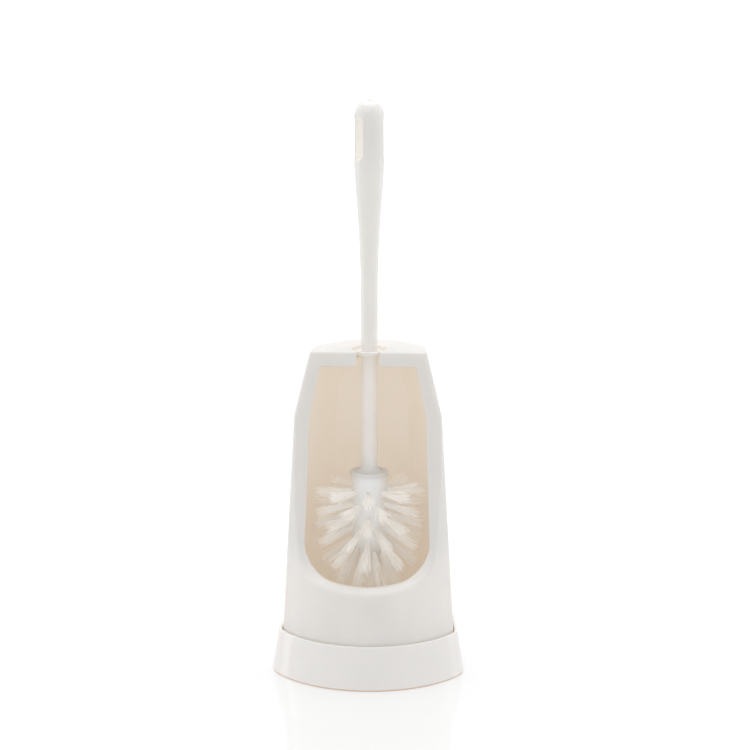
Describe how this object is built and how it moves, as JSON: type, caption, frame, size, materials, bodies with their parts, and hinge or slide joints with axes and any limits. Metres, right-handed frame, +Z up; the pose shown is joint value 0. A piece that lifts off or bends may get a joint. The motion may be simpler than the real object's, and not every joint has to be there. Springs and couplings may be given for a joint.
{
  "type": "toilet brush holder",
  "caption": "Open-front toilet brush set: a tapered tower with a keyhole roof stands in a flared drip tray and carries a round-headed brush by the collar on its handle.",
  "frame": {"origin": "on the floor under the brush axis, at the middle of the bounding box's bottom", "axes": "+Z up along the brush axis; the open front faces -Y; +X to the right when facing the open front from -Y"},
  "size_m": [0.129, 0.1219, 0.382],
  "materials": {
    "tray_plastic": "satin-gloss moulded white polypropylene",
    "tower_plastic": "satin-gloss moulded white polypropylene",
    "handle_plastic": "satin-gloss moulded white polypropylene",
    "hub_plastic": "satin-gloss moulded white polypropylene",
    "bristle": "cut synthetic filaments",
    "staple_wire": "flattened wire"
  },
  "bodies": {
    "tray": {"base_tray": "tray_plastic"},
    "tower": {"tower_shell": "tower_plastic"},
    "brush": {"brush_handle": "handle_plastic", "brush_hub": "hub_plastic", "tufts_a": "bristle", "tufts_b": "bristle", "tufts_c": "bristle", "tufts_d": "bristle", "tufts_e": "bristle", "tufts_f": "bristle", "tufts_end": "bristle", "staples_a": "staple_wire", "staples_b": "staple_wire", "staples_c": "staple_wire", "staples_d": "staple_wire", "staples_e": "staple_wire", "staples_f": "staple_wire", "staples_end": "staple_wire"}
  },
  "joints": [
    {"name": "tower_lift", "type": "slide", "parent": "tray", "child": "tower", "axis": [0, 0, 1], "range_m": [0, 0.04]},
    {"name": "brush_lift", "type": "slide", "parent": "tower", "child": "brush", "axis": [0, 0, 1], "range_m": [0, 0.065]}
  ]
}
